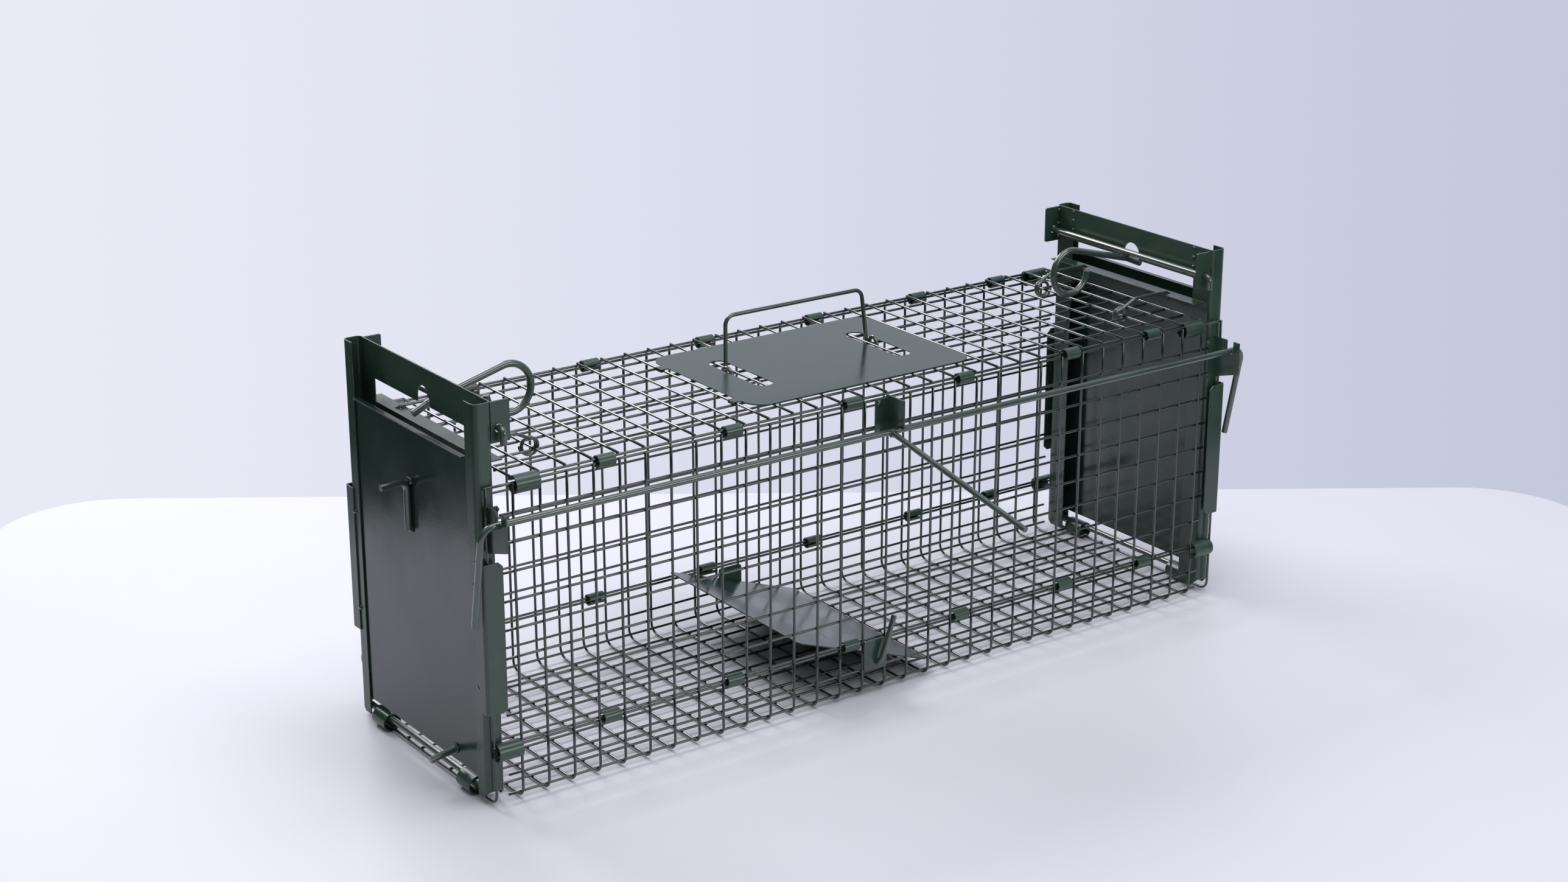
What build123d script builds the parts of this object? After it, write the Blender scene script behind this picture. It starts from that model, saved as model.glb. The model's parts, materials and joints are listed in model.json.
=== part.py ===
"""Two-entrance folding wire cage trap with guillotine doors, gravity latches and a treadle.

Millimetres. +X runs along the cage to the right end, +Y to the back, +Z up. The origin is on the
ground under the middle of the cage. The left end is the mirror image of the right end.
"""

import os
from math import atan, cos, degrees, radians, sin

from build123d import *

# Welded mesh: one pitch both ways, one wire size, cross wires outside the long wires.
PITCH = 25.4
WIRE_R = 1.2
CELLS_LONG = 32
CELLS_WIDE = 9
HALF_LENGTH = CELLS_LONG * PITCH / 2
WIRE_STEP = 2 * WIRE_R + 0.02

# Tray floor: the sill sleeves stand on the ground and carry it.
TRAY_CROSS_Z = 2.5
TRAY_LONG_Z = TRAY_CROSS_Z + WIRE_STEP
TRAY_BEND = 9.0
TRAY_TOP_Z = 50.8
SIDE_CROSS_Y = 117.3
SIDE_LONG_Y = SIDE_CROSS_Y - WIRE_STEP

# Side walls and roof.
WALL_LOW_Z = 53.9
WALL_ROWS = 10
WALL_TOP_Z = WALL_LOW_Z + (WALL_ROWS - 1) * PITCH - 1.4
WALL_TRIM_X = 393.0
ROOF_CROSS_Z = 286.3
ROOF_LONG_Z = ROOF_CROSS_Z - WIRE_STEP
ROOF_HALF_WIDTH = CELLS_WIDE * PITCH / 2

# End frames: a channel post each side, tied by a crossbar, a strip and a flange.
SHEET = 1.2
FRAME_IN_X = 395.0
FRAME_OUT_X = 412.0
POST_FACE_Y = 113.0
POST_INNER_Y = 88.0
POST_LIP_Y = 97.0
POST_BEND = 5.0
POST_LOW_Z = 6.3
POST_TOP_Z = 352.0
POST_CHAMFER = 7.0
CROSSBAR_Z = 320.0
NOTCH_R = 11.0
NOTCH_TOP_Z = 336.0
FLANGE_X = 382.0
FLANGE_Z = 298.0
FLANGE_HALF_Y = 104.0
STRIP_LOW_Z = 283.0
HOOK_HOLE_X = 388.6
HOOK_HOLE_R = 3.2

# Sill rod between the posts, and the sleeves round it and the tray's last wire.
SILL_X = 407.8
SILL_Z = 12.6
SILL_R = 2.9
SLEEVE_X = 407.3
SLEEVE_Z = 8.5
SLEEVE_R = 8.5
SLEEVE_SHEET = 1.1
SLEEVE_Y = (65.3, 87.1)

# Doors.
DOOR_X = 409.3
DOOR_SHEET = 1.1
DOOR_HALF_Y = 107.5
DOOR_LOW_Z = 22.0
DOOR_TOP_Z = 304.0
DOOR_LIP = 4.0
DOOR_LIP_HALF_Y = 94.0
PIN_R = 3.0
PIN_Y = 4.0
PIN_LOW_Z = 212.0
PIN_TOP_Z = 255.0
PIN_REACH = 27.0
PEG_Y = -58.0
PEG_Z = 33.0
PEG_REACH = 25.0
PEG_DROOP = 5.0

# Latches: a rod across the frame and a bent wire loop on it.
LATCH_X = 387.5
LATCH_Z = 328.0
LATCH_ROD_R = 3.0
EAR_Y = 108.5
EAR_SHEET = 2.0
EAR_X = (377.5, 395.0)
EAR_Z = (316.0, 351.0)
EAR_HOLE_R = 3.7
EAR_ROUND = 1.2
LATCH_ROD_HALF_Y = 117.0
LATCH_END_DROP = 12.0
LOOP_R = 3.2
RING_X = 314.5
RING_Z = 316.0
RING_R = 21.8
RING_END = -5.0
RING_BACK = -140.0
RING_START = 75.0
LOOP_ARM_DIP = 15.0
LOOP_TAIL_X = 406.6
LOOP_TAIL_Z = 313.6

# Keeper channels over the walls' end wires.
KEEPER_Z = (85.0, 218.0)
KEEPER_IN_X = 394.0
KEEPER_OUT_X = 413.3
KEEPER_FACE_Y = 120.2
KEEPER_LEG_Y = 106.0
KEEPER_CHAMFER = 4.0
KEEPER_BEND = 3.0

# Clips on the hinge lines and barrels at their ends.
CLIP_LENGTH = 16.5
CLIP_CELLS = (4, 9, 14, 19, 24, 28)
CLIP_R = 5.5
CLIP_SHEET = 1.1
BARREL_LENGTH = 22.6
BARREL_R = 7.8
BARREL_DROP = 3.2
BARREL_LOW_OUT = 2.2

# Release gear along the front.
RELEASE_Y = -134.0
RELEASE_Z = 256.0
RELEASE_R = 3.0
CRANK_X = 420.0
CRANK_LENGTH = 92.0
CRANK_BEND = 12.0
CRANK_LEAN = 11.0
TRIGGER_X = -9.0
TRIGGER_R = 2.6
TRIGGER_LENGTH = 186.0
TRIGGER_DROOP = 11.0
BRACKET_SHEET = 1.5
BRACKET_OUT_Y = -146.0
NOTCH_HALF = 4.5
NOTCH_FLOOR_Z = RELEASE_Z - RELEASE_R - 0.25
END_BRACKET_X = (393.6, 404.5)
END_BRACKET_Z = (229.0, 266.0)
CENTRE_BRACKET_X = (-15.5, -1.5)
CENTRE_BRACKET_Z = (247.0, 285.5)
CENTRE_BRACKET_OUT_Y = -144.0

# Treadle: a tilted plate on a cross shaft, the shaft's front end bent up as the catch.
TREADLE_X = -11.0
TREADLE_Z = 32.4
TREADLE_SLOPE = 0.353
TREADLE_SHEET = 1.2
TREADLE_LEFT = -80.0
TREADLE_RIGHT = 75.0
TREADLE_BACK_Y = 109.0
TREADLE_FRONT_Y = -104.0
TREADLE_ROUND = 4.0
SLIT_X = (-22.0, 30.0)
SLIT_Y = -62.0
SLIT_SIZE = (1.6, 16.0)
SHAFT_R = 2.5
CATCH_Y = -125.5
CATCH_LENGTH = 46.0
BEARING_FRONT_Y = (-120.2, -118.7)
BEARING_BACK_Y = (111.9, 113.4)
BEARING_X = (-25.5, 0.5)
BEARING_FRONT_Z = (25.0, 54.0)
BEARING_BACK_Z = (24.0, 50.0)
BEARING_ROUND = 3.0
BEARING_SLACK = 0.08

# Carrying plate and bail handle.
PLATE_SHEET = 1.0
PLATE_HALF_X = 122.5
PLATE_Y = (-89.0, 82.0)
PLATE_CORNER = 18.0
SLOT_X = 77.5
SLOT_WIDTH = 18.0
SLOT_Y = (-45.0, 42.5)
TAB_Y = (-62.0, 53.0)
TAB_HALF = 5.0
TAB_OUT_X = 129.8
TAB_LOW_Z = 285.4
HANDLE_R = 1.9
HANDLE_Y = PITCH / 2
HANDLE_EYE_R = 6.5
HANDLE_LEFT_X = -79.6
HANDLE_RIGHT_X = 80.3
HANDLE_LEAN = 7.0
HANDLE_TOP_Z = 337.0
HANDLE_BEND = 9.0
HANDLE_PITCH = 3.9
HANDLE_TURNS = 1.0

# Roof hooks: a coil round a roof wire and an arm to the frame's flange.
HOOK_R = 1.5
HOOK_COIL_R = 7.3
HOOK_CELL = 3
HOOK_Y = 60.0
HOOK_ARM_Z = 300.9
HOOK_TIP = 9.0
HOOK_PITCH = 3.3
HOOK_TURNS = 1.75

GAP = 0.3


def block(low, high):
    """A box from its lowest corner to its highest corner."""
    size = [b - a for a, b in zip(low, high)]
    centre = [(a + b) / 2 for a, b in zip(low, high)]
    return Pos(*centre) * Box(*size)


def rod(start, end, radius):
    """A straight round rod."""
    line = Vector(*end) - Vector(*start)
    return Solid.make_cylinder(radius, line.length, Plane(origin=start, z_dir=line))


def bent_rod(points, radius, bend):
    """A round rod along straight runs with rounded bends."""
    path = FilletPolyline(*points, radius=bend)
    return sweep(Plane(origin=path @ 0, z_dir=path % 0) * Circle(radius), path=path)


def tube_x(x0, x1, y, z, outer, inner):
    """A tube along X."""
    return rod((x0, y, z), (x1, y, z), outer) - rod((x0 - 1, y, z), (x1 + 1, y, z), inner)


def mirrored(shape, side):
    """The right-hand shape for side 1, its mirror image across the YZ plane for side -1."""
    return shape if side > 0 else mirror(shape, about=Plane.YZ)


def flipped(shape, face):
    """The front shape for face -1, its mirror image across the XZ plane for face 1."""
    return shape if face < 0 else mirror(shape, about=Plane.XZ)


def save(name, shapes):
    """Write one sub-part; each shape in the list stays a separate solid."""
    solids = [solid for shape in shapes for solid in shape.solids()]
    export_step(Compound(solids), f"parts/{name}.step")


def cross_x(index):
    """X of a cross wire, counted from the left end."""
    return (index - CELLS_LONG / 2) * PITCH


def floor_tray():
    """Mesh floor whose cross wires turn up at both sides."""
    wires = []
    for index in range(CELLS_LONG + 1):
        x = cross_x(index)
        top = TRAY_TOP_Z + WIRE_R
        points = [(x, -SIDE_CROSS_Y, top), (x, -SIDE_CROSS_Y, TRAY_CROSS_Z)]
        points += [(x, SIDE_CROSS_Y, TRAY_CROSS_Z), (x, SIDE_CROSS_Y, top)]
        wires.append(bent_rod(points, WIRE_R, TRAY_BEND))
    end = HALF_LENGTH + WIRE_R
    for row in range(1, CELLS_WIDE):
        y = row * PITCH - ROOF_HALF_WIDTH
        wires.append(rod((-end, y, TRAY_LONG_Z), (end, y, TRAY_LONG_Z), WIRE_R))
    inside = TRAY_BEND - WIRE_STEP
    corner_y = SIDE_CROSS_Y - TRAY_BEND + inside * cos(radians(45))
    corner_z = TRAY_CROSS_Z + TRAY_BEND - inside * sin(radians(45))
    rows = [(corner_y, corner_z, WALL_TRIM_X), (SIDE_LONG_Y, PITCH, WALL_TRIM_X)]
    rows += [(SIDE_LONG_Y, TRAY_TOP_Z, end)]
    for y, z, reach in rows:
        for face in (-1, 1):
            wires.append(rod((-reach, face * y, z), (reach, face * y, z), WIRE_R))
    return wires


def side_wall(face):
    """Flat mesh side; the top and bottom wires reach the last upright, the others stop at the posts."""
    wires = []
    end = HALF_LENGTH + WIRE_R
    for index in range(CELLS_LONG + 1):
        x = cross_x(index)
        low = (x, face * SIDE_CROSS_Y, WALL_LOW_Z - WIRE_R)
        wires.append(rod(low, (x, face * SIDE_CROSS_Y, WALL_TOP_Z + WIRE_R), WIRE_R))
    for row in range(WALL_ROWS):
        z = WALL_LOW_Z + row * (WALL_TOP_Z - WALL_LOW_Z) / (WALL_ROWS - 1)
        reach = end if row in (0, WALL_ROWS - 1) else WALL_TRIM_X
        y = face * SIDE_LONG_Y
        wires.append(rod((-reach, y, z), (reach, y, z), WIRE_R))
    return wires


def roof_mesh():
    """Flat mesh roof between the flanges of the two end frames."""
    wires = []
    side = ROOF_HALF_WIDTH + WIRE_R
    for index in range(1, CELLS_LONG):
        x = cross_x(index)
        wires.append(rod((x, -side, ROOF_CROSS_Z), (x, side, ROOF_CROSS_Z), WIRE_R))
    end = HALF_LENGTH - PITCH + WIRE_R
    for row in range(CELLS_WIDE + 1):
        y = row * PITCH - ROOF_HALF_WIDTH
        wires.append(rod((-end, y, ROOF_LONG_Z), (end, y, ROOF_LONG_Z), WIRE_R))
    return wires


def post():
    """The back right post: a channel open towards the door, with rounded corners."""
    inner_x = FRAME_IN_X + SHEET
    lip_x = FRAME_OUT_X - SHEET
    web_y = POST_FACE_Y - SHEET
    points = [(FRAME_IN_X, POST_INNER_Y), (inner_x, POST_INNER_Y), (inner_x, web_y), (lip_x, web_y)]
    points += [(lip_x, POST_LIP_Y), (FRAME_OUT_X, POST_LIP_Y), (FRAME_OUT_X, POST_FACE_Y)]
    points += [(FRAME_IN_X, POST_FACE_Y)]
    section = make_face(Polyline(*points, close=True))
    bends = [(FRAME_IN_X, POST_FACE_Y, POST_BEND), (FRAME_OUT_X, POST_FACE_Y, POST_BEND)]
    bends += [(inner_x, web_y, POST_BEND - SHEET), (lip_x, web_y, POST_BEND - SHEET)]
    for x, y, radius in bends:
        section = fillet(section.vertices().sort_by_distance((x, y, 0))[0], radius)
    channel = Pos(0, 0, POST_LOW_Z) * extrude(section, POST_TOP_Z - POST_LOW_Z)
    cut = [(POST_FACE_Y - POST_CHAMFER, POST_LOW_Z), (POST_FACE_Y, POST_LOW_Z)]
    cut += [(POST_FACE_Y, POST_LOW_Z + POST_CHAMFER)]
    wedge = make_face(Polyline(*[(FRAME_IN_X - 1, y, z) for y, z in cut], close=True))
    return channel - extrude(wedge, FRAME_OUT_X - FRAME_IN_X + 2, dir=(1, 0, 0))


def end_frame():
    """Both posts, the crossbar notched for the latch arm, the strip and the flange with hook holes."""
    frame = post() + mirror(post(), about=Plane.XZ)
    inner_x = FRAME_IN_X + SHEET
    reach = POST_INNER_Y + 4
    frame += block((FRAME_IN_X, -reach, CROSSBAR_Z), (inner_x, reach, POST_TOP_Z))
    frame += block((FRAME_IN_X, -reach, STRIP_LOW_Z), (inner_x, reach, FLANGE_Z + SHEET))
    frame += block((FLANGE_X, -FLANGE_HALF_Y, FLANGE_Z), (inner_x, FLANGE_HALF_Y, FLANGE_Z + SHEET))
    round_z = NOTCH_TOP_Z - NOTCH_R
    frame -= rod((FRAME_IN_X - 1, 0, round_z), (inner_x + 1, 0, round_z), NOTCH_R)
    frame -= block((FRAME_IN_X - 1, -NOTCH_R, CROSSBAR_Z - 1), (inner_x + 1, NOTCH_R, round_z))
    for y in (-HOOK_Y, HOOK_Y):
        low = (HOOK_HOLE_X, y, FLANGE_Z - 1)
        frame -= rod(low, (HOOK_HOLE_X, y, FLANGE_Z + SHEET + 1), HOOK_HOLE_R)
    return frame


def sill_rod():
    """Rod across the bottom of the frame, inside both posts."""
    reach = POST_FACE_Y - POST_BEND - GAP
    return rod((SILL_X, -reach, SILL_Z), (SILL_X, reach, SILL_Z), SILL_R)


def sill_sleeves():
    """Rolled sleeves round the sill rod and the tray's last cross wire."""
    sleeves = []
    for face in (-1, 1):
        low, high = sorted(face * y for y in SLEEVE_Y)
        centre = (SLEEVE_X, low, SLEEVE_Z)
        sleeve = rod(centre, (SLEEVE_X, high, SLEEVE_Z), SLEEVE_R)
        bore_r = SLEEVE_R - SLEEVE_SHEET
        sleeve -= rod((SLEEVE_X, low - 1, SLEEVE_Z), (SLEEVE_X, high + 1, SLEEVE_Z), bore_r)
        sleeves.append(sleeve)
    return sleeves


def hinge_y(upper):
    return SIDE_LONG_Y if not upper else (SIDE_LONG_Y + ROOF_HALF_WIDTH) / 2


def hinge_z(upper):
    return (WALL_TOP_Z + ROOF_LONG_Z) / 2 if upper else (TRAY_TOP_Z + WALL_LOW_Z) / 2


def rolled_clip(x, half, y, z, outer, face):
    """A strip rolled round two wires, with its seam on the cage's inner side."""
    clip = tube_x(x - half, x + half, y, z, outer, outer - CLIP_SHEET)
    seam_low = (x - half - 1, min(0, -face * outer), -outer * 0.15)
    seam_high = (x + half + 1, max(0, -face * outer), outer * 0.3)
    return clip - Pos(0, y, z) * block(seam_low, seam_high)


def clips(face, upper):
    """Six small clips on one hinge line, each in the middle of a mesh cell."""
    made = []
    for cell in CLIP_CELLS:
        x = cross_x(cell + 0.5)
        made.append(rolled_clip(x, CLIP_LENGTH / 2, face * hinge_y(upper), hinge_z(upper), CLIP_R, face))
    return made


def barrels(upper):
    """Large sleeves at the ends of the hinge lines; the low ones end against the posts."""
    made = []
    inset = 1.5 if upper else 0.5
    for side in (-1, 1):
        for face in (-1, 1):
            x = side * (HALF_LENGTH - inset * PITCH)
            y = hinge_y(upper) + (0 if upper else BARREL_LOW_OUT)
            z = hinge_z(upper) - BARREL_DROP
            shape = rolled_clip(x, BARREL_LENGTH / 2, face * y, z, BARREL_R, face)
            if not upper:
                wall = POST_FACE_Y + 0.05
                low, high = sorted((0, face * wall))
                shape -= block((x - 30, low, z - 20), (x + 30, high, z + 20))
            made.append(shape)
    return made


def keeper():
    """Front right keeper: a strip over the wall's end wire, with a leg round the post's corner."""
    z0, z1 = KEEPER_Z
    face_in = -KEEPER_FACE_Y + SHEET
    plate = block((KEEPER_IN_X, -KEEPER_FACE_Y, z0), (KEEPER_OUT_X, face_in, z1))
    outer = plate.edges().filter_by(Axis.Y).group_by(Axis.X)[0]
    plate = chamfer(outer, KEEPER_CHAMFER)
    leg = block((KEEPER_OUT_X - SHEET, -KEEPER_FACE_Y, z0), (KEEPER_OUT_X, -KEEPER_LEG_Y, z1))
    shape = plate + leg
    bend = (KEEPER_OUT_X, -KEEPER_FACE_Y, (z0 + z1) / 2)
    return fillet(shape.edges().filter_by(Axis.Z).sort_by_distance(bend)[0], KEEPER_BEND)


def ear():
    """Back right ear: the plate that carries one end of the latch rod."""
    x0, x1 = EAR_X
    z0, z1 = EAR_Z
    plate = block((x0, EAR_Y, z0), (x1, EAR_Y + EAR_SHEET, z1))
    plate = fillet(plate.edges().filter_by(Axis.Y).group_by(Axis.X)[0], EAR_ROUND)
    end = (LATCH_X, EAR_Y + EAR_SHEET + 1, LATCH_Z)
    return plate - rod((LATCH_X, EAR_Y - 1, LATCH_Z), end, EAR_HOLE_R)


def door():
    """Sheet door with its top edge folded outwards."""
    door_out = DOOR_X + DOOR_SHEET
    sheet = block((DOOR_X, -DOOR_HALF_Y, DOOR_LOW_Z), (door_out, DOOR_HALF_Y, DOOR_TOP_Z))
    lip_low = (DOOR_X, -DOOR_LIP_HALF_Y, DOOR_TOP_Z - DOOR_SHEET)
    return sheet + block(lip_low, (door_out + DOOR_LIP, DOOR_LIP_HALF_Y, DOOR_TOP_Z))


def door_pin():
    """Bent pull pin welded flat to the door's outer face."""
    x = DOOR_X + DOOR_SHEET + PIN_R
    points = [(x, PIN_Y, PIN_LOW_Z), (x, PIN_Y, PIN_TOP_Z)]
    points += [(x - PIN_R + PIN_REACH, PIN_Y, PIN_TOP_Z - 1.5)]
    return bent_rod(points, PIN_R, 7.0)


def door_peg():
    """Short stop peg that rests on the release crank when the door is set."""
    x = DOOR_X + DOOR_SHEET
    start = (x - PIN_R, PEG_Y, PEG_Z + PEG_DROOP * PIN_R / PEG_REACH)
    peg = rod(start, (x + PEG_REACH, PEG_Y, PEG_Z - PEG_DROOP), PIN_R)
    return peg - block((x - 20, PEG_Y - 10, 0), (x, PEG_Y + 10, 60))


def latch_rod():
    """Rod through both ears, its ends bent down."""
    low = LATCH_Z - LATCH_END_DROP
    points = [(LATCH_X, -LATCH_ROD_HALF_Y, low), (LATCH_X, -LATCH_ROD_HALF_Y, LATCH_Z)]
    points += [(LATCH_X, LATCH_ROD_HALF_Y, LATCH_Z), (LATCH_X, LATCH_ROD_HALF_Y, low)]
    return bent_rod(points, LATCH_ROD_R, 4.5)


def latch_loop():
    """Weight loop: an open ring, a straight arm under the latch rod and a short tail."""
    clear = LATCH_ROD_R + LOOP_R - 0.1
    arm_angle = radians(LOOP_ARM_DIP)
    under = Vector(LATCH_X - clear * sin(arm_angle), 0, LATCH_Z - clear * cos(arm_angle))
    tail = Vector(LOOP_TAIL_X, 0, LOOP_TAIL_Z)
    along = Vector(cos(arm_angle), 0, -sin(arm_angle))
    normal = Vector(sin(arm_angle), 0, cos(arm_angle))
    centre = Vector(RING_X, 0, RING_Z)
    arm_start = under + along * ((centre - under).dot(along))
    centre = arm_start - normal * RING_R
    arm_end = under + along * 4

    def ring_point(angle):
        return centre + Vector(RING_R * cos(radians(angle)), 0, RING_R * sin(radians(angle)))

    first = ThreePointArc(ring_point(RING_END), ring_point(RING_BACK), ring_point(RING_START))
    arm = Line(first @ 1, arm_end)
    last = Line(arm_end, tail)
    loop = sweep(Plane(origin=first @ 0, z_dir=first % 0) * Circle(LOOP_R), path=first)
    loop += rod(tuple(arm @ 0), tuple(arm @ 1), LOOP_R)
    loop += Pos(*arm_end) * Sphere(LOOP_R)
    loop += rod(tuple(last @ 0), tuple(last @ 1), LOOP_R)
    return loop


def end_bracket():
    """Front right bracket: foot on the post, plate across the release rod with an open notch."""
    z0, z1 = END_BRACKET_Z
    foot_x, x1 = END_BRACKET_X
    x0 = x1 - BRACKET_SHEET
    seat_y = -POST_FACE_Y - 0.05
    foot = block((foot_x, seat_y - BRACKET_SHEET, z0 - 4), (x1, seat_y, z1 - 2))
    outline = [(seat_y, z0 - 4), (BRACKET_OUT_Y, z0 + 6), (BRACKET_OUT_Y, z1)]
    outline += [(RELEASE_Y - NOTCH_HALF, z1), (RELEASE_Y - NOTCH_HALF, RELEASE_Z)]
    outline += [(RELEASE_Y + NOTCH_HALF, RELEASE_Z), (RELEASE_Y + NOTCH_HALF, z1), (seat_y, z1)]
    face = make_face(Polyline(*[(x0, y, z) for y, z in outline], close=True))
    plate = extrude(face, BRACKET_SHEET, dir=(1, 0, 0))
    seat_z = NOTCH_FLOOR_Z + NOTCH_HALF
    plate -= rod((x0 - 1, RELEASE_Y, seat_z), (x1 + 1, RELEASE_Y, seat_z), NOTCH_HALF)
    return foot + plate


def centre_bracket():
    """Bracket on the front wall that steadies the middle of the release rod."""
    x0, x1 = CENTRE_BRACKET_X
    z0, z1 = CENTRE_BRACKET_Z
    wall_y = -SIDE_CROSS_Y - WIRE_R
    shape = block((x0, wall_y - BRACKET_SHEET, z0), (x1, wall_y, z1 - 3))
    shape += block((x1 - BRACKET_SHEET, CENTRE_BRACKET_OUT_Y, z0 + 1), (x1, wall_y, z1))
    bore_r = RELEASE_R + GAP
    low_x, high_x = x1 - 2 * BRACKET_SHEET, x1 + 2 * BRACKET_SHEET
    shape -= rod((low_x, RELEASE_Y, RELEASE_Z), (high_x, RELEASE_Y, RELEASE_Z), bore_r)
    shape -= block((low_x, CENTRE_BRACKET_OUT_Y - 1, z0), (high_x, RELEASE_Y, RELEASE_Z + bore_r))
    shape -= block((low_x, RELEASE_Y - bore_r, z0), (high_x, RELEASE_Y + bore_r, RELEASE_Z))
    return shape


def release_rod():
    """Long rod whose two ends turn into cranks beside the doors."""
    lean = radians(CRANK_LEAN)
    tip_y = RELEASE_Y + CRANK_LENGTH * sin(lean)
    tip_z = RELEASE_Z - CRANK_LENGTH * cos(lean)
    points = [(-CRANK_X, tip_y, tip_z), (-CRANK_X, RELEASE_Y, RELEASE_Z)]
    points += [(CRANK_X, RELEASE_Y, RELEASE_Z), (CRANK_X, tip_y, tip_z)]
    return bent_rod(points, RELEASE_R, CRANK_BEND)


def trigger_arm():
    """Trigger arm butted and welded to the rod's outer side."""
    droop = radians(TRIGGER_DROOP)
    start = RELEASE_R - 0.1
    y0 = RELEASE_Y - start * cos(droop)
    z0 = RELEASE_Z - start * sin(droop)
    y1 = RELEASE_Y - TRIGGER_LENGTH * cos(droop)
    z1 = RELEASE_Z - TRIGGER_LENGTH * sin(droop)
    arm = rod((TRIGGER_X, y0, z0), (TRIGGER_X, y1, z1), TRIGGER_R)
    low, high = TRIGGER_X - 3 * TRIGGER_R, TRIGGER_X + 3 * TRIGGER_R
    return arm - rod((low, RELEASE_Y, RELEASE_Z), (high, RELEASE_Y, RELEASE_Z), RELEASE_R)


def treadle_frame():
    """The treadle's own plane: origin on the shaft, local X down the slope, local Y to the back."""
    tilt = degrees(atan(TREADLE_SLOPE))
    return Pos(TREADLE_X, 0, TREADLE_Z) * Rot(0, tilt, 0)


def treadle_plate():
    """Flat plate on top of the shaft, with two short slits."""
    low = (TREADLE_LEFT, TREADLE_FRONT_Y, 0)
    plate = block(low, (TREADLE_RIGHT, TREADLE_BACK_Y, TREADLE_SHEET))
    plate = fillet(plate.edges().filter_by(Axis.Z), TREADLE_ROUND)
    for x in SLIT_X:
        plate -= Pos(x, SLIT_Y, 0) * Box(*SLIT_SIZE, 10)
    return treadle_frame() * Pos(0, 0, SHAFT_R) * plate


def treadle_shaft():
    """Shaft under the plate, its front end bent up as the catch."""
    tilt = atan(TREADLE_SLOPE)
    tip = (TREADLE_X + CATCH_LENGTH * sin(tilt), CATCH_Y, TREADLE_Z + CATCH_LENGTH * cos(tilt))
    points = [(TREADLE_X, BEARING_BACK_Y[1] + 6, TREADLE_Z), (TREADLE_X, CATCH_Y, TREADLE_Z), tip]
    return bent_rod(points, SHAFT_R, 5.0)


def bearing_plate(reach_y, reach_z):
    """Bearing plate with a running hole for the treadle shaft."""
    x0, x1 = BEARING_X
    y0, y1 = reach_y
    z0, z1 = reach_z
    plate = block((x0, y0, z0), (x1, y1, z1))
    plate = fillet(plate.edges().filter_by(Axis.Y), BEARING_ROUND)
    low = (TREADLE_X, y0 - 1, TREADLE_Z)
    return plate - rod(low, (TREADLE_X, y1 + 1, TREADLE_Z), SHAFT_R + BEARING_SLACK)


def plate_top_z():
    return ROOF_CROSS_Z + WIRE_R + PLATE_SHEET


def plate_tab(y):
    """Small tab that folds down over the cross wire beside the plate's left edge."""
    top = plate_top_z()
    low, high = y - TAB_HALF, y + TAB_HALF
    flat = block((-TAB_OUT_X, low, top - PLATE_SHEET), (-PLATE_HALF_X + 1, high, top))
    return flat + block((-TAB_OUT_X, low, TAB_LOW_Z), (PLATE_SHEET - TAB_OUT_X, high, top))


def carrying_plate():
    """Thin plate on the roof wires with a long slot for each leg of the handle."""
    y0, y1 = PLATE_Y
    low = plate_top_z() - PLATE_SHEET
    plate = block((-PLATE_HALF_X, y0, low), (PLATE_HALF_X, y1, plate_top_z()))
    plate = fillet(plate.edges().filter_by(Axis.Z), PLATE_CORNER)
    length = SLOT_Y[1] - SLOT_Y[0]
    slot = extrude(SlotOverall(length, SLOT_WIDTH, rotation=90), 20, both=True)
    for x in (-SLOT_X, SLOT_X):
        plate -= Pos(x, sum(SLOT_Y) / 2, low) * slot
    for y in TAB_Y:
        plate += plate_tab(y)
    return plate


def coil(radius, wire_r, pitch, turns):
    """Helical coil that winds along its own Z axis from a start on its own X axis."""
    helix = Helix(pitch=pitch, height=pitch * turns, radius=radius)
    return sweep(Plane(origin=helix @ 0, z_dir=helix % 0) * Circle(wire_r), path=helix, is_frenet=True)


def handle():
    """Bail handle: two legs and a bar, each leg wound once round a long roof wire, outwards."""
    leg_y = HANDLE_Y + HANDLE_EYE_R
    points = [(HANDLE_LEFT_X, leg_y, ROOF_LONG_Z), (HANDLE_LEFT_X, leg_y, HANDLE_TOP_Z)]
    points += [(HANDLE_RIGHT_X - HANDLE_LEAN, leg_y, HANDLE_TOP_Z)]
    points += [(HANDLE_RIGHT_X, leg_y, ROOF_LONG_Z)]
    shape = bent_rod(points, HANDLE_R, HANDLE_BEND)
    wound = coil(HANDLE_EYE_R, HANDLE_R, HANDLE_PITCH, HANDLE_TURNS)
    for side, x in ((-1, HANDLE_LEFT_X), (1, HANDLE_RIGHT_X)):
        place = Plane(origin=(-abs(x), HANDLE_Y, ROOF_LONG_Z), x_dir=(0, 1, 0), z_dir=(-1, 0, 0))
        shape += mirrored(place * wound, -side)
        shape += Pos(x, leg_y, ROOF_LONG_Z) * Sphere(HANDLE_R)
    return shape


def roof_hook():
    """Back right hook: a coil round a roof cross wire and an arm with a turned-down tip."""
    coil_x = HALF_LENGTH - HOOK_CELL * PITCH
    wound = coil(HOOK_COIL_R, HOOK_R, HOOK_PITCH, HOOK_TURNS)
    top = (coil_x, HOOK_Y, ROOF_CROSS_Z + HOOK_COIL_R)
    place = Plane(origin=(coil_x, HOOK_Y, ROOF_CROSS_Z), x_dir=(0, 0, 1), z_dir=(0, -1, 0))
    points = [top, (coil_x + 15, HOOK_Y, HOOK_ARM_Z), (HOOK_HOLE_X, HOOK_Y, HOOK_ARM_Z)]
    points += [(HOOK_HOLE_X, HOOK_Y, HOOK_ARM_Z - HOOK_TIP)]
    return place * wound + bent_rod(points, HOOK_R, 3.0) + Pos(*top) * Sphere(HOOK_R)


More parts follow.
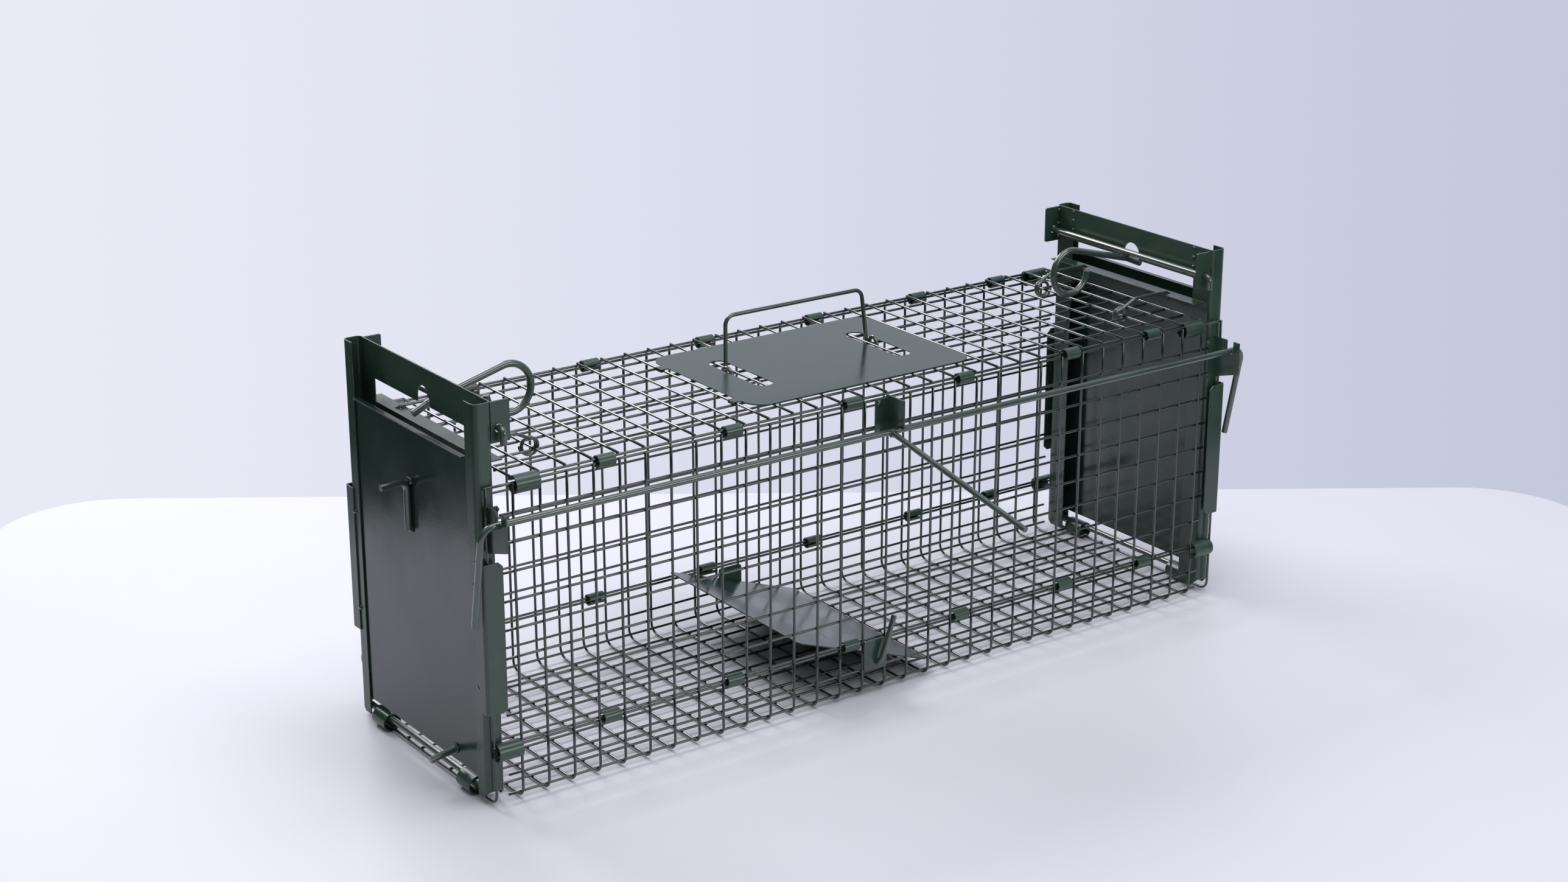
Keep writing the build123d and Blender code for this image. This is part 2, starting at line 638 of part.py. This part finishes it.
def end_parts(side, name):
    """Everything at one end of the cage."""
    save(f"{name}_end_frame", [mirrored(end_frame(), side)])
    save(f"{name}_sill_rod", [mirrored(sill_rod(), side)])
    save(f"{name}_sill_sleeves", [mirrored(sleeve, side) for sleeve in sill_sleeves()])
    save(f"{name}_front_keeper", [mirrored(keeper(), side)])
    save(f"{name}_back_keeper", [mirrored(flipped(keeper(), 1), side)])
    save(f"{name}_back_ear", [mirrored(ear(), side)])
    save(f"{name}_front_ear", [mirrored(flipped(ear(), 1), side)])
    save(f"{name}_rod_bracket", [mirrored(end_bracket(), side)])
    save(f"{name}_door", [mirrored(door(), side)])
    save(f"{name}_door_pin", [mirrored(door_pin(), side)])
    save(f"{name}_door_peg", [mirrored(door_peg(), side)])
    save(f"{name}_latch_rod", [mirrored(latch_rod(), side)])
    save(f"{name}_latch_loop", [mirrored(latch_loop(), side)])
    save(f"{name}_back_hook", [mirrored(roof_hook(), side)])
    save(f"{name}_front_hook", [mirrored(flipped(roof_hook(), 1), side)])


def main():
    os.makedirs("parts", exist_ok=True)
    save("floor_tray", floor_tray())
    save("front_wall", side_wall(-1))
    save("back_wall", side_wall(1))
    save("roof_mesh", roof_mesh())
    for face, place in ((-1, "front"), (1, "back")):
        save(f"{place}_top_clips", clips(face, True))
        save(f"{place}_low_clips", clips(face, False))
    save("top_corner_barrels", barrels(True))
    save("low_corner_barrels", barrels(False))
    end_parts(-1, "left")
    end_parts(1, "right")
    save("centre_rod_bracket", [centre_bracket()])
    save("release_rod", [release_rod()])
    save("trigger_arm", [trigger_arm()])
    save("treadle_plate", [treadle_plate()])
    save("treadle_shaft", [treadle_shaft()])
    save("treadle_front_bearing", [bearing_plate(BEARING_FRONT_Y, BEARING_FRONT_Z)])
    save("treadle_back_bearing", [bearing_plate(BEARING_BACK_Y, BEARING_BACK_Z)])
    save("carrying_plate", [carrying_plate()])
    save("carry_handle", [handle()])


main()
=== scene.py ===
"""Look of the two-entrance live catch trap: mesh wires, coats, weld beads, studio and camera."""

import json
import math

import bmesh
import bpy
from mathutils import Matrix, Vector, noise

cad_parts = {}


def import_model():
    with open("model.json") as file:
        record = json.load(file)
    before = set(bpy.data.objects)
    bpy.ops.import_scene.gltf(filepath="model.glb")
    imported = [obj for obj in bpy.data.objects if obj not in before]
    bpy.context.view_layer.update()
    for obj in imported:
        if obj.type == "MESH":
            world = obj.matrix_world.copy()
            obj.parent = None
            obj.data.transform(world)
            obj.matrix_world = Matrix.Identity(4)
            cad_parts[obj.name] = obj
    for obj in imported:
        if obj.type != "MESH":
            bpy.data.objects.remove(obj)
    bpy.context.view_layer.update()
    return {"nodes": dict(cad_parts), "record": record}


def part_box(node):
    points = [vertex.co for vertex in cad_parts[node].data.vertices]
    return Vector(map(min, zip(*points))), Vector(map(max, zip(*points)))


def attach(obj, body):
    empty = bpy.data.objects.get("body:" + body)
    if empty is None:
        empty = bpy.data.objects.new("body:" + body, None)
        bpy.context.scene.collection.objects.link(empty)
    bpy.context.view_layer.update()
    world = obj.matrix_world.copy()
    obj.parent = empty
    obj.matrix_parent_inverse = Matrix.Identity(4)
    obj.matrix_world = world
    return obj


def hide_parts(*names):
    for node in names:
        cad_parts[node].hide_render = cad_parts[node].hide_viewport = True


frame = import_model()

# Welded mesh, in metres.
PITCH = 0.0254
WIRE_R = 0.0012
CELLS_LONG = 32
CELLS_WIDE = 9
WALL_ROWS = 10
TRAY_BEND = 0.009
WIRE_SINK = 0.0005
WIRE_WOBBLE = 0.00035
WOBBLE_SEED = 5
WIRE_SIDES = 10
WIRE_END_SHRINK = 0.72
WIRE_END_CHAMFER = 0.3
WIRE_TRIM = 0.011

# Ends of the cage: sign along X and the name in the frame.
SIDES = ((-1, "left"), (1, "right"))

# Camera and table; VIEW_TURN is the way the camera looks, from +Y towards +X.
CAMERA_PLACE = (-1.382, -1.887, 1.016)
CAMERA_DIP = 19.06
VIEW_TURN = 35.65
LENS = 61.5
TABLE_TURN = 1.4
TABLE_HALF_WIDTH = 0.86
TABLE_FAR = 0.437
TABLE_NEAR = -1.25
TABLE_CORNER = 0.13
TABLE_THICK = 0.045
TABLE_EDGE = 0.012

# Light of the room.
ROOM_LIGHT = 0.95
DARK_ROOM = (0.058, 0.080, 0.076)
PAPER_LEFT = (0.86, 0.875, 0.98)
PAPER_RIGHT = (0.56, 0.59, 0.735)
CEILING = (0.62, 0.63, 0.68)
TABLE_PALE = (0.765, 0.765, 0.835)

# Painted finishes: base colour, roughness, coat weight.
COAT_SHEET = ((0.028, 0.060, 0.041), 0.26, 0.0)
COAT_PANEL = ((0.013, 0.034, 0.025), 0.17, 0.0)
COAT_WIRE = ((0.012, 0.022, 0.016), 0.17, 0.6)
# Rods: same green paint, base lightened to a painted highlight standing in for the bright shine along the
# rods.
COAT_ROD_WITH_PAINTED_HIGHLIGHT = ((0.044, 0.070, 0.056), 0.18, 0.7)
COAT_WELD = ((0.030, 0.056, 0.042), 0.20, 0.3)
PAINT_IOR = 1.62
SOFT_EDGE = 0.0005

# Weld beads: half sizes along the seam, across it and outwards.
BEAD = (0.0034, 0.0026, 0.0019)
SMALL_BEAD = (0.0022, 0.0018, 0.0014)
PIN_BEAD = (0.0032, 0.0032, 0.0018)

# Where the beads lie on their pieces, in metres.
SHEET_T = 0.0012
SEAM_X = 0.3952
SEAM_Z = (0.3215, 0.3495)
SEAM_INSET = 0.026
SILL_BEAD_INSET = 0.013
SILL_BEAD_OFFSET = 0.004
BRACKET_BEAD_IN = 0.004
BEAD_SINK = 0.001
DOOR_BEAD_RISE = 0.0006
LATCH_ROD_R = 0.003
LATCH_BEAD_DROP = 0.0052
LATCH_BEAD_SPREAD = 0.0026
RELEASE_RING_R = 0.0024
PEG_RING_SHARE = 1.05


# ---------------------------------------------------------------- materials

def add_node(tree, kind, **inputs):
    """A shader node with some of its inputs set."""
    node = tree.nodes.new(kind)
    for name, value in inputs.items():
        node.inputs[name.replace("_", " ")].default_value = value
    return node


def noise_ramp(tree, place, scale, low, high, detail=4.0):
    """Noise in the object's own coordinates, stretched to run from 0 to 1 between low and high."""
    texture = add_node(tree, "ShaderNodeTexNoise", Scale=scale, Detail=detail)
    tree.links.new(place.outputs["Object"], texture.inputs["Vector"])
    ramp = tree.nodes.new("ShaderNodeMapRange")
    ramp.inputs["From Min"].default_value = low
    ramp.inputs["From Max"].default_value = high
    tree.links.new(texture.outputs["Fac"], ramp.inputs["Value"])
    return ramp.outputs["Result"]


def colour_mix(tree, factor, first, second):
    """Mixes two colours by a factor; either may be a socket or a plain colour."""
    mix = tree.nodes.new("ShaderNodeMix")
    mix.data_type = "RGBA"
    tree.links.new(factor, mix.inputs["Factor"])
    for socket, value in ((mix.inputs[6], first), (mix.inputs[7], second)):
        if isinstance(value, bpy.types.NodeSocket):
            tree.links.new(value, socket)
        else:
            socket.default_value = (*value, 1.0)
    return mix.outputs[2]


def scaled(colour, factor):
    """The colour, lighter or darker."""
    return tuple(channel * factor for channel in colour)


def painted(name, look, wave=0.0, soft_edge=SOFT_EDGE):
    """Dark green baked coat: mottled colour, fine orange peel, dust, rubbed specks."""
    base, rough, coat = look
    material = bpy.data.materials.new(name)
    material.use_nodes = True
    tree = material.node_tree
    shader = tree.nodes["Principled BSDF"]
    place = tree.nodes.new("ShaderNodeTexCoord")
    cloudy = noise_ramp(tree, place, 14.0, 0.35, 0.65)
    colour = colour_mix(tree, cloudy, scaled(base, 0.86), scaled(base, 1.16))
    dusty = noise_ramp(tree, place, 55.0, 0.62, 0.86, 8.0)
    dust = tuple(channel + 0.02 for channel in base)
    colour = colour_mix(tree, dusty, colour, dust)
    rubbed = noise_ramp(tree, place, 420.0, 0.735, 0.80, 2.0)
    colour = colour_mix(tree, rubbed, colour, scaled(base, 2.6))
    tree.links.new(colour, shader.inputs["Base Color"])
    gloss = tree.nodes.new("ShaderNodeMapRange")
    gloss.inputs["To Min"].default_value = rough - 0.05
    gloss.inputs["To Max"].default_value = rough + 0.09
    tree.links.new(cloudy, gloss.inputs["Value"])
    tree.links.new(gloss.outputs["Result"], shader.inputs["Roughness"])
    shader.inputs["IOR"].default_value = PAINT_IOR
    shader.inputs["Coat Weight"].default_value = coat
    shader.inputs["Coat Roughness"].default_value = 0.16
    shader.inputs["Coat IOR"].default_value = 1.6
    peel = add_node(tree, "ShaderNodeTexNoise", Scale=650.0, Detail=2.0)
    tree.links.new(place.outputs["Object"], peel.inputs["Vector"])
    bump = add_node(tree, "ShaderNodeBump", Strength=0.25, Distance=0.00012)
    tree.links.new(peel.outputs["Fac"], bump.inputs["Height"])
    if soft_edge:
        rounding = tree.nodes.new("ShaderNodeBevel")
        rounding.samples = 4
        rounding.inputs["Radius"].default_value = soft_edge
        tree.links.new(rounding.outputs["Normal"], bump.inputs["Normal"])
    if wave:
        swell = add_node(tree, "ShaderNodeTexNoise", Scale=9.0, Detail=1.0)
        tree.links.new(place.outputs["Object"], swell.inputs["Vector"])
        sheet_bump = add_node(tree, "ShaderNodeBump", Strength=0.5, Distance=wave)
        tree.links.new(swell.outputs["Fac"], sheet_bump.inputs["Height"])
        tree.links.new(bump.outputs["Normal"], sheet_bump.inputs["Normal"])
        bump = sheet_bump
    tree.links.new(bump.outputs["Normal"], shader.inputs["Normal"])
    tree.links.new(bump.outputs["Normal"], shader.inputs["Coat Normal"])
    return material


def plain(name, colour, rough):
    """Matt studio surface with a faint mottle."""
    material = bpy.data.materials.new(name)
    material.use_nodes = True
    tree = material.node_tree
    shader = tree.nodes["Principled BSDF"]
    place = tree.nodes.new("ShaderNodeTexCoord")
    cloudy = noise_ramp(tree, place, 2.5, 0.3, 0.7)
    tree.links.new(colour_mix(tree, cloudy, scaled(colour, 0.975), colour), shader.inputs["Base Color"])
    shader.inputs["Roughness"].default_value = rough
    return material


# ---------------------------------------------------------------- mesh code

def straight(start, end, step=PITCH):
    """Points along a straight wire, close enough for a faint wobble."""
    start, end = Vector(start), Vector(end)
    count = max(1, round((end - start).length / step))
    return [start.lerp(end, i / count) for i in range(count + 1)]


def corner(centre, radius, first, second, steps=7):
    """Points of a quarter bend about a centre, from one direction to another."""
    centre, first, second = Vector(centre), Vector(first), Vector(second)
    angles = [math.pi / 2 * i / steps for i in range(steps + 1)]
    return [centre + radius * (first * math.cos(a) + second * math.sin(a)) for a in angles]


def wobbled(points, amount):
    """The points moved a little; vector noise is repeatable only once main() has seeded it."""
    moved = []
    for point in points:
        drift = noise.noise_vector(point * 9.0) * amount
        moved.append(point + drift)
    return moved


def add_tube(shape, points, radius, sides=WIRE_SIDES):
    """One round wire along the points, with slightly chamfered cut ends."""
    points = [Vector(p) for p in points]
    first = (points[1] - points[0]).normalized()
    last = (points[-1] - points[-2]).normalized()
    chamfer = radius * WIRE_END_CHAMFER
    tip = radius * WIRE_END_SHRINK
    rings = [(points[0], tip), (points[0] + first * chamfer, radius)]
    rings += [(p, radius) for p in points[1:-1]]
    rings += [(points[-1] - last * chamfer, radius), (points[-1], tip)]
    side = first.orthogonal().normalized()
    previous = None
    for index, (place, size) in enumerate(rings):
        before = rings[max(0, index - 1)][0]
        after = rings[min(len(rings) - 1, index + 1)][0]
        along = (after - before).normalized()
        side = (side - along * side.dot(along)).normalized()
        up = along.cross(side)
        ring = []
        for step in range(sides):
            angle = 2 * math.pi * step / sides
            outward = side * math.cos(angle) + up * math.sin(angle)
            ring.append(shape.verts.new(place + outward * size))
        if previous:
            for step in range(sides):
                following = (step + 1) % sides
                face = shape.faces.new((previous[step], previous[following], ring[following], ring[step]))
                face.smooth = True
        else:
            shape.faces.new(list(reversed(ring)))
        previous = ring
    shape.faces.new(previous)


def add_blob(shape, place, size, normal, seed=0.0):
    """A weld bead: a low uneven dome."""
    made = bmesh.ops.create_icosphere(shape, subdivisions=2, radius=1.0)
    turn = Vector(normal).to_track_quat("Z", "Y").to_matrix().to_4x4()
    for vertex in made["verts"]:
        lump = 1.0 + 0.22 * noise.noise(vertex.co * 1.7 + Vector((seed, seed * 0.7, 3.1)))
        local = Vector((vertex.co.x * size[0], vertex.co.y * size[1], vertex.co.z * size[2])) * lump
        vertex.co = turn @ local + Vector(place)
    for vertex in made["verts"]:
        for face in vertex.link_faces:
            face.smooth = True


def piece(name, shape, body, material, stands_for=()):
    """Turns mesh code into an object that rides on a body."""
    data = bpy.data.meshes.new(name)
    shape.normal_update()
    shape.to_mesh(data)
    shape.free()
    item = bpy.data.objects.new(name, data)
    bpy.context.scene.collection.objects.link(item)
    data.materials.append(material)
    if stands_for:
        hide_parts(*stands_for)
    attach(item, body)


# ---------------------------------------------------------------- mesh panels

def cross_x(index):
    return (index - CELLS_LONG / 2) * PITCH


def middle(low, high):
    return (low + high) / 2


def floor_tray(material):
    """Floor wires with turned-up sides."""
    low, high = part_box("floor_tray")
    side = high.y - WIRE_R
    base = low.z + WIRE_R
    top = high.z
    shape = bmesh.new()
    for index in range(CELLS_LONG + 1):
        x = cross_x(index)
        front_bend = corner((x, -side + TRAY_BEND, base + TRAY_BEND), TRAY_BEND, (0, -1, 0), (0, 0, -1))
        back_bend = corner((x, side - TRAY_BEND, base + TRAY_BEND), TRAY_BEND, (0, 0, -1), (0, 1, 0))
        route = straight((x, -side, top), (x, -side, base + TRAY_BEND))[:-1] + front_bend
        route += straight((x, -side + TRAY_BEND, base), (x, side - TRAY_BEND, base))[1:-1] + back_bend
        route += straight((x, side, base + TRAY_BEND), (x, side, top))[1:]
        add_tube(shape, wobbled(route, WIRE_WOBBLE), WIRE_R)
    floor_z = base + 2 * WIRE_R - WIRE_SINK
    for row in range(1, CELLS_WIDE):
        y = (row - CELLS_WIDE / 2) * PITCH
        route = straight((low.x, y, floor_z), (high.x, y, floor_z))
        add_tube(shape, wobbled(route, WIRE_WOBBLE), WIRE_R)
    inside = TRAY_BEND - 2 * WIRE_R + WIRE_SINK
    bend_y = side - TRAY_BEND + inside * math.cos(math.radians(45))
    bend_z = base + TRAY_BEND - inside * math.sin(math.radians(45))
    wall_y = side - 2 * WIRE_R + WIRE_SINK
    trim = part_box("right_end_frame")[0].x + WIRE_TRIM
    rows = [(bend_y, bend_z, trim), (wall_y, PITCH, trim), (wall_y, top - WIRE_R, high.x)]
    for y, z, reach in rows:
        for face in (-1, 1):
            route = straight((-reach, face * y, z), (reach, face * y, z))
            add_tube(shape, wobbled(route, WIRE_WOBBLE), WIRE_R)
    piece("floor_wires", shape, "cage", material, ["floor_tray"])


def side_wall(face, node, material):
    """Upright mesh side; only its top and bottom wires cross the posts."""
    low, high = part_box(node)
    outer = (high.y if face > 0 else -low.y) - WIRE_R
    inner = outer - 2 * WIRE_R + WIRE_SINK
    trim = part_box("right_end_frame")[0].x + WIRE_TRIM
    shape = bmesh.new()
    for index in range(CELLS_LONG + 1):
        x = cross_x(index)
        route = straight((x, face * outer, low.z), (x, face * outer, high.z))
        add_tube(shape, wobbled(route, WIRE_WOBBLE), WIRE_R)
    first, last = low.z + WIRE_R, high.z - WIRE_R
    for row in range(WALL_ROWS):
        z = first + row * (last - first) / (WALL_ROWS - 1)
        reach = high.x if row in (0, WALL_ROWS - 1) else trim
        route = straight((-reach, face * inner, z), (reach, face * inner, z))
        add_tube(shape, wobbled(route, WIRE_WOBBLE), WIRE_R)
    piece(node + "_wires", shape, "cage", material, [node])


def roof(material):
    """Roof wires."""
    low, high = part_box("roof_mesh")
    cross_z = high.z - WIRE_R
    long_z = cross_z - 2 * WIRE_R + WIRE_SINK
    shape = bmesh.new()
    for index in range(1, CELLS_LONG):
        x = cross_x(index)
        add_tube(shape, wobbled(straight((x, low.y, cross_z), (x, high.y, cross_z)), WIRE_WOBBLE), WIRE_R)
    for row in range(CELLS_WIDE + 1):
        y = (row - CELLS_WIDE / 2) * PITCH
        add_tube(shape, wobbled(straight((low.x, y, long_z), (high.x, y, long_z)), WIRE_WOBBLE), WIRE_R)
    piece("roof_wires", shape, "cage", material, ["roof_mesh"])


# ---------------------------------------------------------------- weld beads

def add_seam(shape, start, end, count, size, normal):
    """Beads in a row from one point to another."""
    start, end = Vector(start), Vector(end)
    for index in range(count):
        place = start.lerp(end, index / max(1, count - 1))
        add_blob(shape, place, size, normal, seed=index * 1.3 + place.z * 40)


def cage_welds(material):
    """Beads that hold ears, keepers and brackets to the posts."""
    shape = bmesh.new()
    for side, name in SIDES:
        for face, place in ((-1, "front"), (1, "back")):
            low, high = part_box(f"{name}_{place}_keeper")
            outer_x = (low.x if side < 0 else high.x) - side * SHEET_T
            inner_y = high.y if face < 0 else low.y
            for share in (0.16, 0.84):
                z = low.z + share * (high.z - low.z)
                add_blob(shape, (outer_x, inner_y, z), BEAD, (side, 0, 0), seed=z * 60)
            ear_low, ear_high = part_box(f"{name}_{place}_ear")
            post_x = ear_high.x if side > 0 else ear_low.x
            ear_y = ear_low.y if face > 0 else ear_high.y
            for share in (0.12, 0.5, 0.9):
                z = ear_low.z + share * (ear_high.z - ear_low.z)
                root = (post_x - side * BEAD_SINK, ear_y, z)
                add_blob(shape, root, SMALL_BEAD, (-side, -face, 0), seed=z * 80)
        low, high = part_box(name + "_rod_bracket")
        foot_x = low.x if side > 0 else high.x
        for share in (0.1, 0.5, 0.88):
            z = low.z + share * (high.z - low.z)
            add_blob(shape, (foot_x, high.y - BEAD_SINK, z), SMALL_BEAD, (-side, -1, 0), seed=z * 70)
        rod_low, rod_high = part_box(name + "_sill_rod")
        rod_x = middle(rod_low.x, rod_high.x)
        rod_z = middle(rod_low.z, rod_high.z)
        for y in (rod_low.y + SILL_BEAD_INSET, rod_high.y - SILL_BEAD_INSET):
            place = (rod_x - side * SILL_BEAD_OFFSET, y, rod_z)
            add_blob(shape, place, SMALL_BEAD, (0, 0, 1), seed=y * 50)
        frame_low, frame_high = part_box(name + "_end_frame")
        for y in (frame_low.y + SEAM_INSET, frame_high.y - SEAM_INSET):
            start, end = ((side * SEAM_X, y, z) for z in SEAM_Z)
            add_seam(shape, start, end, 4, SMALL_BEAD, (-side, 0, 0))
    low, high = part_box("centre_rod_bracket")
    for share in (0.14, 0.84):
        z = low.z + share * (high.z - low.z)
        add_blob(shape, (low.x + BRACKET_BEAD_IN, high.y - SHEET_T, z), BEAD, (0, -1, 0), seed=z * 33)
    piece("welds_cage", shape, "cage", material)


def door_welds(side, name, material):
    """Beads at the pull pin's two ends and round the foot of the peg."""
    shape = bmesh.new()
    pin_low, pin_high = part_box(name + "_door_pin")
    pin_y = middle(pin_low.y, pin_high.y)
    radius = (pin_high.y - pin_low.y) / 2
    face_x = (pin_high.x if side < 0 else pin_low.x) + side * DOOR_BEAD_RISE
    top_z = pin_high.z - radius
    for reach, seed in ((-0.7, 2.0), (0.0, 5.0), (0.9, 7.0)):
        place = (face_x, pin_y + reach * radius, top_z)
        add_blob(shape, place, PIN_BEAD, (side, 0, 0), seed=seed)
    add_blob(shape, (face_x, pin_y, pin_low.z - BEAD_SINK), PIN_BEAD, (side, 0, 0), seed=9.0)
    peg_low, peg_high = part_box(name + "_door_peg")
    peg_y = middle(peg_low.y, peg_high.y)
    peg_z = peg_high.z - radius
    ring_r = radius * PEG_RING_SHARE
    for step in range(7):
        angle = 2 * math.pi * step / 7
        place = (face_x, peg_y + ring_r * math.cos(angle), peg_z + ring_r * math.sin(angle))
        add_blob(shape, place, SMALL_BEAD, (side, 0, 0), seed=step * 2.1)
    piece(name + "_door_welds", shape, name + "_door_body", material)


def latch_welds(side, name, material):
    """Bead where the weight loop's arm lies under the latch rod."""
    shape = bmesh.new()
    low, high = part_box(name + "_latch_rod")
    rod_x = high.x - LATCH_ROD_R if side > 0 else low.x + LATCH_ROD_R
    for edge in (-1, 1):
        place = (rod_x, edge * LATCH_BEAD_SPREAD, high.z - LATCH_BEAD_DROP)
        add_blob(shape, place, BEAD, (0, edge, 0), seed=3.0 + edge)
    piece(name + "_latch_weld", shape, name + "_latch_body", material)


def release_weld(material):
    """Bead where the trigger arm meets the release rod."""
    shape = bmesh.new()
    low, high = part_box("trigger_arm")
    centre = Vector((middle(low.x, high.x), high.y, high.z - (high.x - low.x) / 2))
    for step in range(6):
        angle = 2 * math.pi * step / 6
        offset = RELEASE_RING_R * Vector((math.cos(angle), 0.0, math.sin(angle)))
        add_blob(shape, centre + offset, SMALL_BEAD, (0, -1, 0), seed=step * 1.7)
    piece("release_weld", shape, "release_gear", material)


# ---------------------------------------------------------------- finishes on CAD nodes

def repaint(node, material):
    """Gives a CAD node its finished material."""
    item = frame["nodes"][node]
    item.data.materials.clear()
    item.data.materials.append(material)


def repaint_all(materials):
    """Flat panels, bent rods and pressed parts each have their own coat; the rods' base colour is lighter
    than the shared green paint, a painted highlight.
    """
    panels = {"left_door", "right_door", "carrying_plate", "treadle_plate"}
    slots = {part["node"]: part["material_slot"] for part in frame["record"]["subparts"]}
    for node, slot in slots.items():
        if node in panels:
            repaint(node, materials["panel"])
        elif slot == "bent_rod":
            repaint(node, materials["rod"])
        else:
            repaint(node, materials["sheet"])


# ---------------------------------------------------------------- studio

def view_axes(extra=0.0):
    """Unit vectors on the ground: the way the camera looks, and to its right."""
    turn = math.radians(VIEW_TURN - extra)
    ahead = Vector((math.sin(turn), math.cos(turn), 0.0))
    return ahead, Vector((ahead.y, -ahead.x, 0.0))


def camera():
    data = bpy.data.cameras.new("camera")
    data.lens = LENS
    data.sensor_width = 36.0
    item = bpy.data.objects.new("camera", data)
    bpy.context.scene.collection.objects.link(item)
    item.location = CAMERA_PLACE
    item.rotation_euler = (math.radians(90 - CAMERA_DIP), 0.0, -math.radians(VIEW_TURN))
    bpy.context.scene.camera = item


def table(material):
    """Rounded pale tabletop, nearly square to the camera."""
    ahead, right = view_axes(TABLE_TURN)
    low = Vector((-TABLE_HALF_WIDTH, TABLE_NEAR))
    high = Vector((TABLE_HALF_WIDTH, TABLE_FAR))
    shape = bmesh.new()
    rim = []
    arcs = [(high.x, high.y, 0), (low.x, high.y, 90), (low.x, low.y, 180), (high.x, low.y, 270)]
    for x, y, start in arcs:
        centre_x = x - math.copysign(TABLE_CORNER, x)
        centre_y = y - math.copysign(TABLE_CORNER, y)
        for step in range(13):
            angle = math.radians(start + 90 * step / 12)
            flat = (centre_x + TABLE_CORNER * math.cos(angle), centre_y + TABLE_CORNER * math.sin(angle))
            rim.append(shape.verts.new(right * flat[0] + ahead * flat[1]))
    shape.faces.new(rim)
    data = bpy.data.meshes.new("table")
    bmesh.ops.recalc_face_normals(shape, faces=shape.faces)
    shape.to_mesh(data)
    shape.free()
    item = bpy.data.objects.new("table", data)
    bpy.context.scene.collection.objects.link(item)
    slab = item.modifiers.new("slab", "SOLIDIFY")
    slab.thickness = TABLE_THICK
    slab.offset = -1.0
    edge = item.modifiers.new("edge", "BEVEL")
    edge.width = TABLE_EDGE
    edge.segments = 4
    data.materials.append(material)


def along(tree, place, direction, low, high):
    """Runs from 0 to 1 as the direction looked in turns towards the one given."""
    dot = tree.nodes.new("ShaderNodeVectorMath")
    dot.operation = "DOT_PRODUCT"
    dot.inputs[1].default_value = tuple(direction)
    tree.links.new(place.outputs["Generated"], dot.inputs[0])
    ramp = tree.nodes.new("ShaderNodeMapRange")
    ramp.interpolation_type = "SMOOTHSTEP"
    ramp.inputs["From Min"].default_value = low
    ramp.inputs["From Max"].default_value = high
    tree.links.new(dot.outputs["Value"], ramp.inputs["Value"])
    return ramp.outputs["Result"]


def world():
    """Pale lavender room behind the table, brighter to the left; the room on the other side is dark."""
    ahead, right = view_axes()
    room = bpy.data.worlds.new("studio")
    bpy.context.scene.world = room
    room.use_nodes = True
    tree = room.node_tree
    place = tree.nodes.new("ShaderNodeTexCoord")

    paper = colour_mix(tree, along(tree, place, right, -0.34, 0.40), PAPER_LEFT, PAPER_RIGHT)
    lit = colour_mix(tree, along(tree, place, ahead, -0.15, 0.45), DARK_ROOM, paper)
    lit = colour_mix(tree, along(tree, place, right, -0.62, -0.46), DARK_ROOM, lit)
    overhead = colour_mix(tree, along(tree, place, (0.0, 0.0, 1.0), 0.45, 0.9), lit, CEILING)
    tree.links.new(overhead, tree.nodes["Background"].inputs["Color"])
    tree.nodes["Background"].inputs["Strength"].default_value = ROOM_LIGHT


def area(name, place, aim, size, power, colour):
    """A softbox aimed at a point."""
    data = bpy.data.lights.new(name, "AREA")
    data.shape = "RECTANGLE"
    data.size, data.size_y = size
    data.energy = power
    data.color = colour
    item = bpy.data.objects.new(name, data)
    bpy.context.scene.collection.objects.link(item)
    item.location = place
    item.rotation_euler = (Vector(place) - Vector(aim)).to_track_quat("Z", "Y").to_euler()


def studio():
    """Table, room and three softboxes."""
    world()
    ahead, right = view_axes()
    aim = (0, 0, 0.15)
    area("back_light", (-0.25, 1.75, 1.65), aim, (1.3, 0.7), 30, (1.0, 0.99, 1.0))
    above = right * 0.35 - ahead * 0.3 + Vector((0, 0, 2.1))
    area("top_light", above, aim, (1.6, 1.2), 17, (1.0, 0.99, 1.0))
    area("front_light", (0.9, -2.4, 1.0), aim, (1.4, 0.9), 16, (1.0, 1.0, 1.0))
    table(plain("table_top", TABLE_PALE, 0.5))


def main():
    noise.seed_set(WOBBLE_SEED)
    materials = {
        "sheet": painted("coat_sheet", COAT_SHEET),
        "panel": painted("coat_panel", COAT_PANEL, wave=0.0002),
        "rod": painted("coat_rod_with_painted_highlight", COAT_ROD_WITH_PAINTED_HIGHLIGHT),
        "wire": painted("coat_wire", COAT_WIRE, soft_edge=0.0),
        "weld": painted("coat_weld", COAT_WELD, soft_edge=0.0),
    }
    repaint_all(materials)
    floor_tray(materials["wire"])
    side_wall(-1, "front_wall", materials["wire"])
    side_wall(1, "back_wall", materials["wire"])
    roof(materials["wire"])
    cage_welds(materials["weld"])
    for side, name in SIDES:
        door_welds(side, name, materials["weld"])
        latch_welds(side, name, materials["weld"])
    release_weld(materials["weld"])
    camera()
    studio()
    bpy.context.scene.view_settings.view_transform = "Standard"


main()
